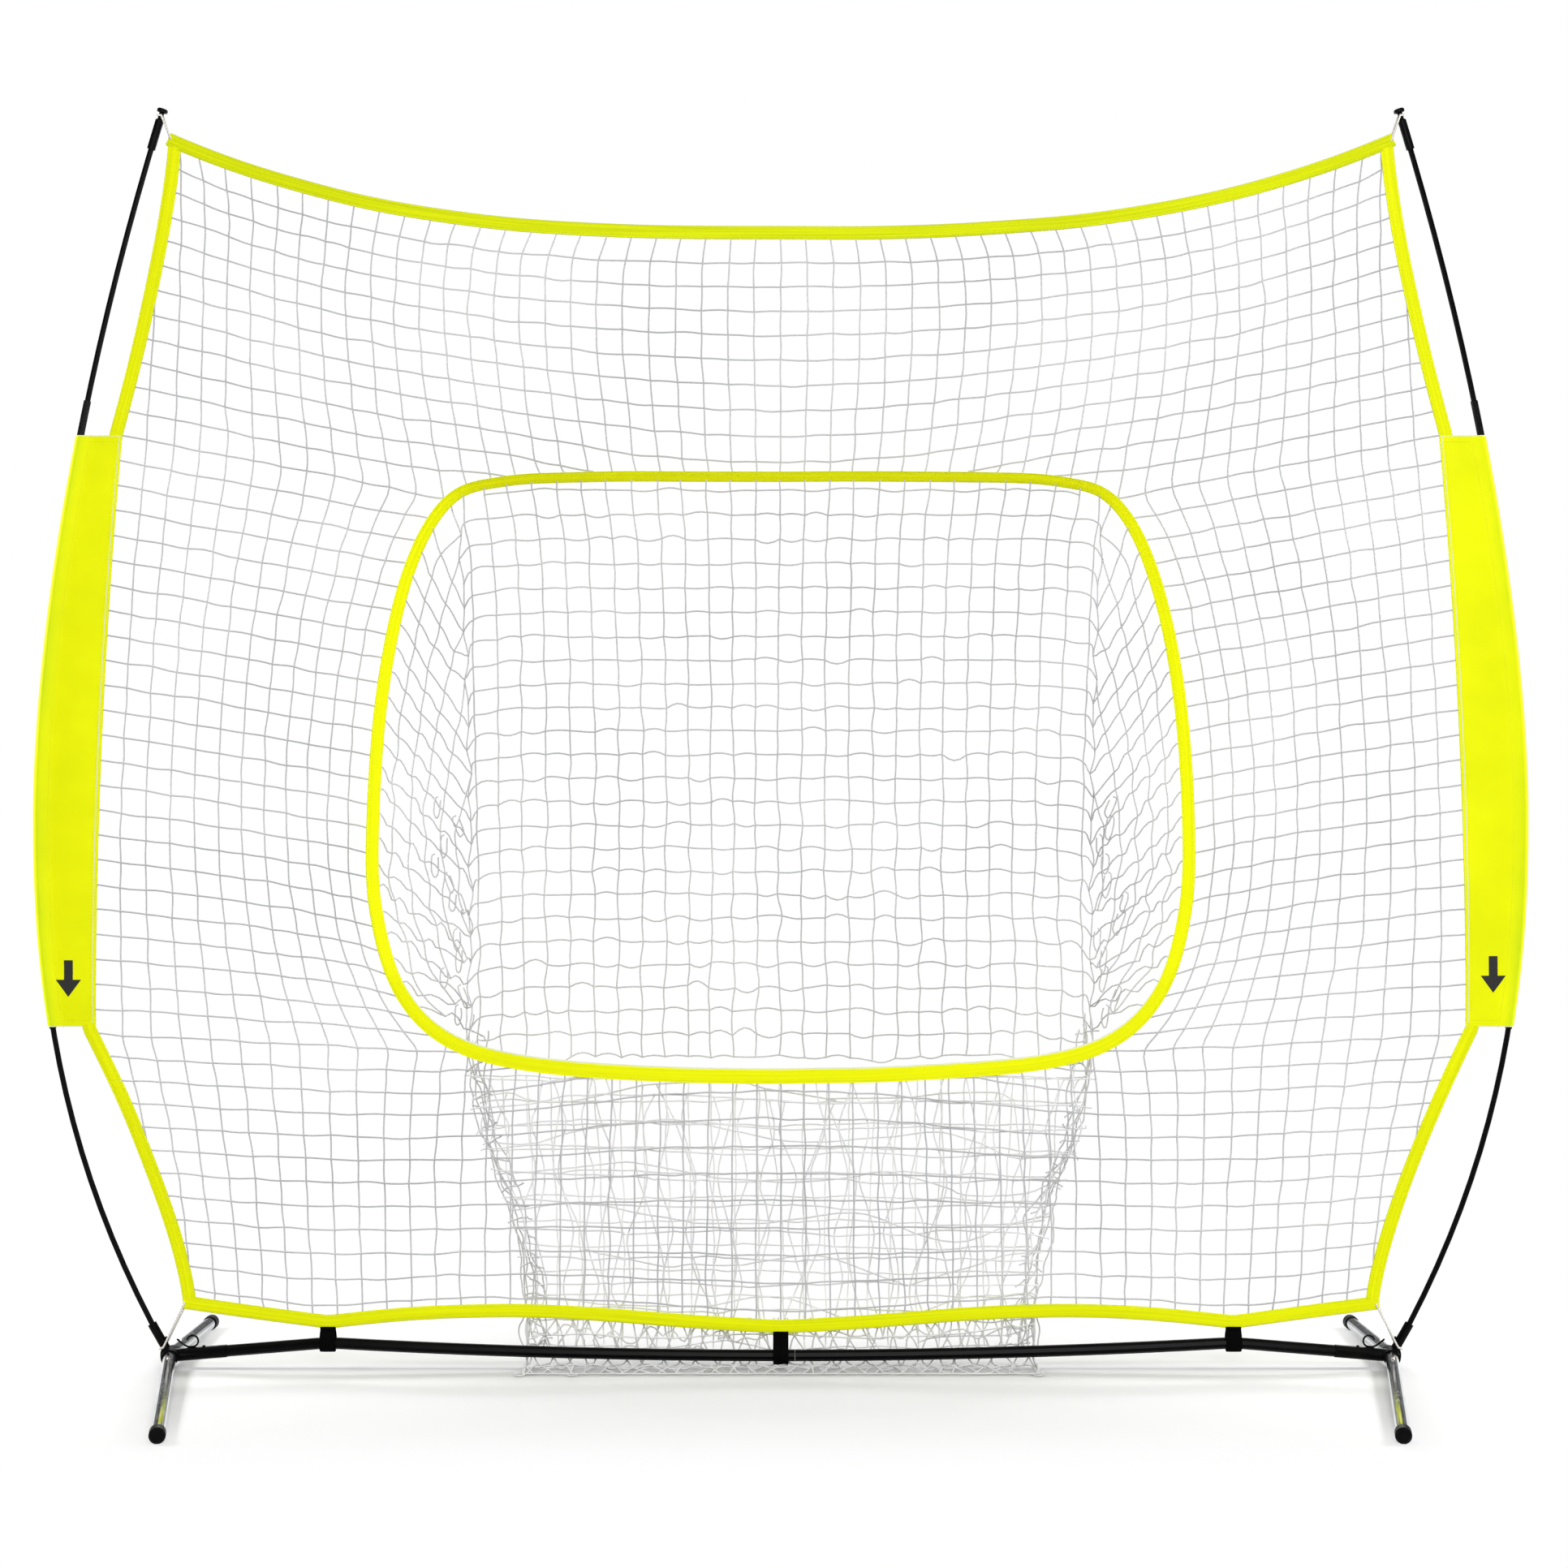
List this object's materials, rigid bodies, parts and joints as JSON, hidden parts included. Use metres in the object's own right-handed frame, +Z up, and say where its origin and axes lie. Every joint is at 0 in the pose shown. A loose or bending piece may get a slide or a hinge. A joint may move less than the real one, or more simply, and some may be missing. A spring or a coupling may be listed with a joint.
{
  "type": "pitching target net",
  "caption": "Bow-frame pitching target net: bent poles on a footed base bar stretch a taped net whose framed opening leads into a hanging ball pocket.",
  "frame": {"origin": "centre of the object's footprint box, on the ground", "axes": "+X along the base bar to the pitcher's right, +Y from the pitcher through the net into the pocket, +Z up"},
  "size_m": [2.5286, 0.855, 2.1305],
  "materials": {
    "black_fibreglass": "smooth pultruded rod, satin black",
    "black_steel": "gloss black enamel on steel tube",
    "black_ferrule": "black oxide on steel ferrules",
    "chrome": "bright chrome plate on steel tube",
    "nickel": "nickel-plated spring button",
    "black_vinyl": "dipped soft black vinyl",
    "yellow_fabric": "fluorescent yellow woven polyester tape and sleeve",
    "white_twine": "white knotless twine net",
    "black_webbing": "black hook-and-loop webbing",
    "white_elastic": "braided white elastic cord"
  },
  "bodies": {
    "root": {"hub_left": "black_steel", "base_bar_left": "black_steel", "lower_pole_left": "black_fibreglass", "middle_pole_left": "black_fibreglass", "upper_pole_left": "black_fibreglass", "lower_ferrule_left": "black_ferrule", "upper_ferrule_left": "black_ferrule", "tip_cap_left": "black_vinyl", "upper_side_tape_left": "yellow_fabric", "lower_side_tape_left": "yellow_fabric", "pole_sleeve_left": "yellow_fabric", "top_loop_left": "white_elastic", "bottom_loop_left": "white_elastic", "strap_left": "black_webbing", "net_left": "white_twine", "pocket_side_left": "white_twine", "front_leg_socket_left": "chrome", "rear_leg_socket_left": "chrome", "hub_right": "black_steel", "base_bar_right": "black_steel", "lower_pole_right": "black_fibreglass", "middle_pole_right": "black_fibreglass", "upper_pole_right": "black_fibreglass", "lower_ferrule_right": "black_ferrule", "upper_ferrule_right": "black_ferrule", "tip_cap_right": "black_vinyl", "upper_side_tape_right": "yellow_fabric", "lower_side_tape_right": "yellow_fabric", "pole_sleeve_right": "yellow_fabric", "top_loop_right": "white_elastic", "bottom_loop_right": "white_elastic", "strap_right": "black_webbing", "net_right": "white_twine", "pocket_side_right": "white_twine", "front_leg_socket_right": "chrome", "rear_leg_socket_right": "chrome", "strap_middle": "black_webbing", "top_tape": "yellow_fabric", "bottom_tape": "yellow_fabric", "net_top": "white_twine", "net_bottom": "white_twine", "pocket_rim": "yellow_fabric", "pocket_back": "white_twine", "pocket_bag": "white_twine", "pocket_front": "white_twine"},
    "front_leg_left_body": {"front_leg_left": "chrome", "front_foot_left": "black_vinyl"},
    "front_button_left_body": {"front_button_left": "nickel"},
    "front_leg_right_body": {"front_leg_right": "chrome", "front_foot_right": "black_vinyl"},
    "front_button_right_body": {"front_button_right": "nickel"},
    "rear_leg_left_body": {"rear_leg_left": "chrome", "rear_foot_left": "black_vinyl"},
    "rear_button_left_body": {"rear_button_left": "nickel"},
    "rear_leg_right_body": {"rear_leg_right": "chrome", "rear_foot_right": "black_vinyl"},
    "rear_button_right_body": {"rear_button_right": "nickel"},
    "bar_button_left_body": {"bar_button_left": "black_steel"},
    "bar_button_right_body": {"bar_button_right": "black_steel"}
  },
  "joints": [
    {"name": "front_leg_left_slide", "type": "slide", "parent": "root", "child": "front_leg_left_body", "axis": [0.1891, -0.9818, -0.0184], "range_m": [0, 0.07], "deforming": ["front_button_left"]},
    {"name": "front_button_left_press", "type": "slide", "parent": "front_leg_left_body", "child": "front_button_left_body", "axis": [-0.0035, 0.018, -0.9998], "range_m": [0, 0.003], "stiffness_N_per_m": 800},
    {"name": "front_leg_right_slide", "type": "slide", "parent": "root", "child": "front_leg_right_body", "axis": [-0.1891, -0.9818, -0.0184], "range_m": [0, 0.07], "deforming": ["front_button_right"]},
    {"name": "front_button_right_press", "type": "slide", "parent": "front_leg_right_body", "child": "front_button_right_body", "axis": [0.0035, 0.018, -0.9998], "range_m": [0, 0.003], "stiffness_N_per_m": 800},
    {"name": "rear_leg_left_slide", "type": "slide", "parent": "root", "child": "rear_leg_left_body", "axis": [0, 0.9996, -0.029], "range_m": [0, 0.07], "deforming": ["rear_button_left"]},
    {"name": "rear_button_left_press", "type": "slide", "parent": "rear_leg_left_body", "child": "rear_button_left_body", "axis": [0, -0.029, -0.9996], "range_m": [0, 0.003], "stiffness_N_per_m": 800},
    {"name": "rear_leg_right_slide", "type": "slide", "parent": "root", "child": "rear_leg_right_body", "axis": [0, 0.9996, -0.029], "range_m": [0, 0.07], "deforming": ["rear_button_right"]},
    {"name": "rear_button_right_press", "type": "slide", "parent": "rear_leg_right_body", "child": "rear_button_right_body", "axis": [0, -0.029, -0.9996], "range_m": [0, 0.003], "stiffness_N_per_m": 800},
    {"name": "bar_button_left_press", "type": "slide", "parent": "root", "child": "bar_button_left_body", "axis": [0.0803, 0, -0.9968], "range_m": [0, 0.0021], "stiffness_N_per_m": 800},
    {"name": "bar_button_right_press", "type": "slide", "parent": "root", "child": "bar_button_right_body", "axis": [-0.0803, 0, -0.9968], "range_m": [0, 0.0021], "stiffness_N_per_m": 800}
  ]
}
